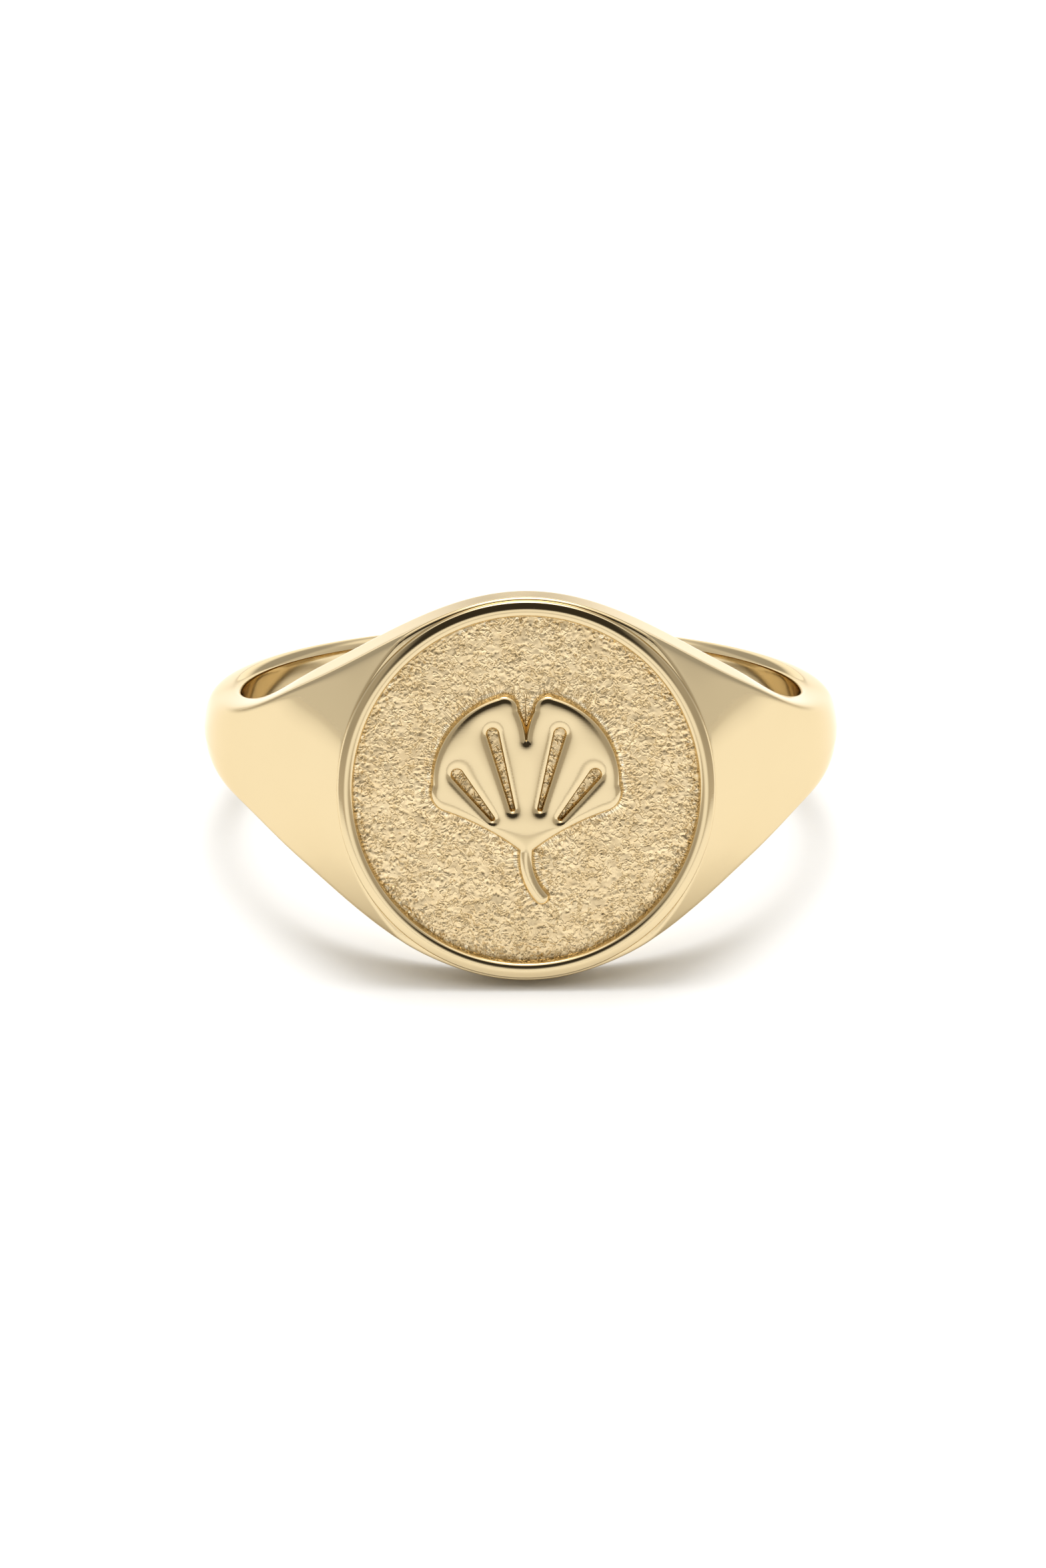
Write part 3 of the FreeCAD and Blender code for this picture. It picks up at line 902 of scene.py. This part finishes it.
def textured_gold():
    """The struck field: fine worm-like tool marks and pits in a soft matte gold, darkened with painted shade,
    a brushed fringe with a pale band over the raised marks round the leaf painted as a highlight, and painted
    shade, browner, in the hollows."""
    material, nodes, links, shader = new_material("textured_gold")
    where = nodes.new("ShaderNodeTexCoord").outputs["Object"]
    cuts = worms(nodes, links, where, 0.4, 4100.0, 0.075, 0.50)
    nicks = worms(nodes, links, where, 1.7, 6200.0, 0.085, 0.53)
    ridges = worms(nodes, links, where, 2.9, 4500.0, 0.085, 0.49)
    spots = nodes.new("ShaderNodeTexVoronoi")
    spots.inputs["Scale"].default_value = 2300.0
    links.new(where, spots.inputs["Vector"])
    pits = remap(nodes, links, spots.outputs["Distance"], 1.0, 0.0, 0.05, 0.13)

    brushed = nodes.new("ShaderNodeCombineXYZ")
    links.new(attribute(nodes, "along"), brushed.inputs["X"])
    gap = attribute(nodes, "gap")
    links.new(figured(nodes, links, "MULTIPLY", gap, 0.16), brushed.inputs["Y"])
    hairs = noise(nodes, links, brushed.outputs["Vector"], 13.0, 1.5, 0.5)
    fringe = figured(nodes, links, "MULTIPLY", remap(nodes, links, hairs, -1.0, 1.0, 0.3, 0.7),
                     remap(nodes, links, gap, 1.0, 0.0, 0.12, 0.55))

    mottle = noise(nodes, links, where, 1300.0, 5.0, 0.6)
    # This gold is set lighter than the polished gold's: painted light that brightens the field, with a random
    # mottled tone.
    tone = mixed(nodes, links, remap(nodes, links, mottle, 0.0, 1.0, 0.3, 0.7),
                 (0.810, 0.628, 0.365), (0.920, 0.748, 0.470))
    # Painted shade: the cuts, nicks and pits are darkened in colour as well as sunk in the bump.
    marks = figured(nodes, links, "MAXIMUM", cuts, figured(nodes, links, "MAXIMUM", nicks, pits))
    # Painted shade in the hollows, by the rim and in the slots, over a random tone.
    tone_and_shade = remap(nodes, links, attribute(nodes, "tone_and_shade"), 0.0, 0.75, 0.018, 0.065)
    dark = figured(nodes, links, "MAXIMUM", figured(nodes, links, "MULTIPLY", marks, 0.62), tone_and_shade)
    # Mixes in the painted shade, brown, in the marks, pits and hollows.
    tone = mixed(nodes, links, dark, tone, (0.50, 0.35, 0.15))
    # Painted highlight: the pale band round the leaf and inside the rim.
    burr_and_highlight = remap(nodes, links, attribute(nodes, "burr_and_highlight"), 0.0, 0.8, 0.15, 0.8)
    tone = mixed(nodes, links, burr_and_highlight, tone, (0.95, 0.84, 0.62))
    links.new(tone, shader.inputs["Base Color"])

    grain = noise(nodes, links, where, 9000.0, 4.0, 0.6)
    links.new(remap(nodes, links, grain, 0.26, 0.42, 0.3, 0.7), shader.inputs["Roughness"])
    height = figured(nodes, links, "SUBTRACT", figured(nodes, links, "MULTIPLY", ridges, 0.8), cuts)
    height = figured(nodes, links, "SUBTRACT", height, figured(nodes, links, "MULTIPLY", nicks, 0.6))
    height = figured(nodes, links, "SUBTRACT", height, figured(nodes, links, "MULTIPLY", pits, 1.5))
    height = figured(nodes, links, "ADD", height, fringe)
    height = figured(nodes, links, "ADD", height, figured(nodes, links, "MULTIPLY", grain, 0.25))
    bump = nodes.new("ShaderNodeBump")
    bump.inputs["Strength"].default_value = 0.7
    bump.inputs["Distance"].default_value = 0.000020
    links.new(height, bump.inputs["Height"])
    links.new(bump.outputs["Normal"], shader.inputs["Normal"])
    shader.inputs["Metallic"].default_value = 1.0
    return material


# ---------------------------------------------------------------- studio

def make_floor(level):
    """A plain pale table top, in shade further from the ring."""
    material, nodes, links, shader = new_material("table")
    where = nodes.new("ShaderNodeTexCoord").outputs["Object"]
    paper = noise(nodes, links, where, 420.0, 4.0)
    pale = mixed(nodes, links, paper, (0.872, 0.886, 0.906), (0.884, 0.898, 0.918))
    distance = nodes.new("ShaderNodeVectorMath")
    distance.operation = "LENGTH"
    links.new(where, distance.inputs[0])
    far = remap(nodes, links, distance.outputs["Value"], 0.0, 1.0, FLOOR_PALE_R, FLOOR_SHADE_R)
    links.new(mixed(nodes, links, far, pale, (0.56, 0.555, 0.55)), shader.inputs["Base Color"])
    shader.inputs["Roughness"].default_value = 0.75
    shader.inputs["Specular IOR Level"].default_value = 0.2
    bm = bmesh.new()
    bmesh.ops.create_circle(bm, cap_ends=True, radius=FLOOR_R, segments=128)
    mesh = bpy.data.meshes.new("table")
    bm.to_mesh(mesh)
    bm.free()
    floor = bpy.data.objects.new("table", mesh)
    floor.location = (0.0, 0.0, level)
    bpy.context.scene.collection.objects.link(floor)
    mesh.materials.append(material)


def towards(azimuth, elevation):
    """The unit vector at an azimuth from -Y towards +X and an elevation, in degrees."""
    a, e = math.radians(azimuth), math.radians(elevation)
    return Vector((math.sin(a) * math.cos(e), -math.cos(a) * math.cos(e), math.sin(e)))


def height_ramp(nodes, links, height, stops, tint=(1.0, 1.0, 1.0)):
    """Light levels by the sine of the elevation."""
    ramp = nodes.new("ShaderNodeValToRGB")
    links.new(height, ramp.inputs["Fac"])
    elements = ramp.color_ramp.elements
    while len(elements) < len(stops):
        elements.new(0.5)
    for element, (degrees, level) in zip(elements, stops):
        element.position = math.sin(math.radians(degrees))
        element.color = (level * tint[0], level * tint[1], level * tint[2], 1.0)
    return ramp.outputs["Color"]


def lean_to(nodes, links, where, direction, wide, tight):
    """0 outside a cone about the direction, 1 inside a tighter one; half angles in degrees."""
    facing = nodes.new("ShaderNodeVectorMath")
    facing.operation = "DOT_PRODUCT"
    facing.inputs[1].default_value = direction
    links.new(where, facing.inputs[0])
    start, end = math.cos(math.radians(wide)), math.cos(math.radians(tight))
    return remap(nodes, links, facing.outputs["Value"], 0.0, 1.0, start, end)


def make_world():
    """Soft studio surroundings: pale walls with two darker flags behind the ring, a dim warm room with
    a dark opening in front, a low glow before and behind it, and a lamp overhead, a little behind."""
    world = bpy.data.worlds.new("studio")
    bpy.context.scene.world = world
    world.use_nodes = True
    nodes, links = world.node_tree.nodes, world.node_tree.links
    where = nodes.new("ShaderNodeTexCoord").outputs["Generated"]
    split = nodes.new("ShaderNodeSeparateXYZ")
    links.new(where, split.inputs["Vector"])
    height = split.outputs["Z"]
    back = height_ramp(nodes, links, height, WALLS_BEHIND, WALLS_TINT)
    front = height_ramp(nodes, links, height, ROOM_IN_FRONT, ROOM_TINT)
    colour = mixed(nodes, links, lean_to(nodes, links, where, (0, -1, 0), 105.0, 55.0), back, front)
    for azimuth in FLAG_AZIMUTHS:
        flag = lean_to(nodes, links, where, towards(azimuth, 20.0), 27.0, 17.0)
        colour = mixed(nodes, links, flag, colour, (0.157, 0.155, 0.151))
    for azimuth, wide, tight, level in LOW_GLOWS:
        glow = lean_to(nodes, links, where, towards(azimuth, -2.0), wide, tight)
        colour = mixed(nodes, links, glow, colour, grey(level))
    opening = lean_to(nodes, links, where, towards(0.0, 31.0), 25.0, 18.0)
    colour = mixed(nodes, links, opening, colour, (0.015, 0.013, 0.010))
    lamp = lean_to(nodes, links, where, towards(180.0, 72.0), 24.0, 15.0)
    colour = mixed(nodes, links, lamp, colour, grey(2.2))
    background = nodes["Background"]
    links.new(colour, background.inputs["Color"])
    background.inputs["Strength"].default_value = WORLD_STRENGTH


def make_camera():
    """A long lens in front of the face and a little above its axis."""
    tilt, yaw = math.radians(CAMERA_TILT), math.radians(CAMERA_YAW)
    aim = Vector(placed([CAMERA_AIM])[0])
    away = (math.sin(yaw) * math.cos(tilt), -math.cos(yaw) * math.cos(tilt), math.sin(tilt))
    back = Vector(placed([away])[0]).normalized()
    up = Vector(placed([(0.0, 0.0, 1.0)])[0])
    right = up.cross(back).normalized()
    up = back.cross(right)
    camera_data = bpy.data.cameras.new("camera")
    camera_data.sensor_width = 36.0
    camera_data.lens = CAMERA_LENS
    camera_data.shift_x, camera_data.shift_y = CAMERA_SHIFT
    camera_data.clip_start = 0.01
    camera_data.clip_end = 20.0
    camera = bpy.data.objects.new("camera", camera_data)
    turn = Matrix((right, up, back)).transposed().to_4x4()
    camera.matrix_world = Matrix.Translation(aim + back * CAMERA_DISTANCE * 0.001) @ turn
    bpy.context.scene.collection.objects.link(camera)
    bpy.context.scene.camera = camera


gold = polished_gold()
make_shank(gold)
make_rim(gold)
make_emblem(gold)
make_field(textured_gold())
make_floor(CAD_BOX[0].z)
make_world()
make_camera()
bpy.context.scene.view_settings.view_transform = "Standard"
bpy.context.scene.cycles.glossy_bounces = 8
